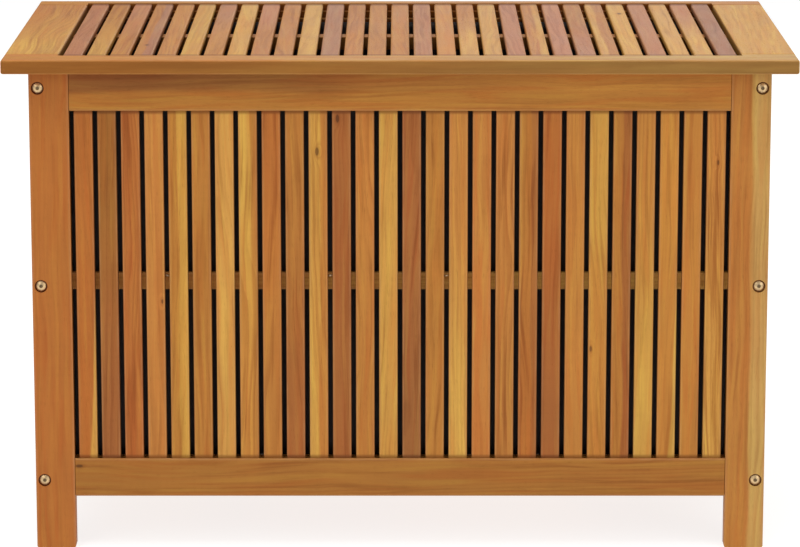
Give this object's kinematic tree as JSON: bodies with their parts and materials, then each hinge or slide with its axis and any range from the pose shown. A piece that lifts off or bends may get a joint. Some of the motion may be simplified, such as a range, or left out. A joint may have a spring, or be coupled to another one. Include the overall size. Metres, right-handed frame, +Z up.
{
  "type": "deck storage box",
  "caption": "Slatted hardwood deck storage box with framed panels, a hinged slatted lid, a raised boarded floor and a hung fabric liner.",
  "frame": {"origin": "on the ground under the middle of the box's outer size", "axes": "+X along the width to the right as seen from the front, +Y to the back where the hinges are, +Z up"},
  "size_m": [0.9, 0.5, 0.575],
  "materials": {
    "frame_wood": "oiled",
    "slat_wood": "oiled",
    "lid_wood": "oiled",
    "inner_wood": "oiled",
    "zinc_bolt": "zinc plated",
    "hinge_steel": "zinc plated",
    "screw_steel": "zinc plated",
    "brass_insert": "plain",
    "liner_cloth": "coated weave",
    "hook_tape": "hook and loop"
  },
  "bodies": {
    "carcass": {"front_left_stile": "frame_wood", "front_right_stile": "frame_wood", "front_top_rail": "frame_wood", "front_bottom_rail": "frame_wood", "front_slats": "slat_wood", "front_batten": "inner_wood", "back_left_stile": "frame_wood", "back_right_stile": "frame_wood", "back_top_rail": "frame_wood", "back_bottom_rail": "frame_wood", "back_slats": "slat_wood", "back_batten": "inner_wood", "left_front_stile": "frame_wood", "left_back_stile": "frame_wood", "left_top_rail": "frame_wood", "left_bottom_rail": "frame_wood", "left_slats": "slat_wood", "left_batten": "inner_wood", "right_front_stile": "frame_wood", "right_back_stile": "frame_wood", "right_top_rail": "frame_wood", "right_bottom_rail": "frame_wood", "right_slats": "slat_wood", "right_batten": "inner_wood", "front_corner_bolts": "zinc_bolt", "back_corner_bolts": "zinc_bolt", "corner_inserts": "brass_insert", "front_cleat": "inner_wood", "back_cleat": "inner_wood", "cleat_screws": "screw_steel", "floor_boards": "slat_wood", "floor_screws": "screw_steel", "liner": "liner_cloth", "liner_tape": "hook_tape", "left_hinge_body_leaf": "hinge_steel", "left_hinge_pin": "hinge_steel", "right_hinge_body_leaf": "hinge_steel", "right_hinge_pin": "hinge_steel", "hinge_body_screws": "screw_steel"},
    "lid": {"lid_front_rail": "lid_wood", "lid_back_rail": "lid_wood", "lid_left_end": "lid_wood", "lid_right_end": "lid_wood", "lid_slats": "slat_wood", "lid_batten": "inner_wood", "lid_batten_screws": "screw_steel", "left_hinge_lid_leaf": "hinge_steel", "right_hinge_lid_leaf": "hinge_steel", "hinge_lid_screws": "screw_steel"}
  },
  "joints": [
    {"name": "lid_hinge", "type": "hinge", "parent": "carcass", "child": "lid", "pos_m": [0, 0.2305, 0.5545], "axis": [-1, 0, 0], "range_deg": [0, 100]}
  ]
}
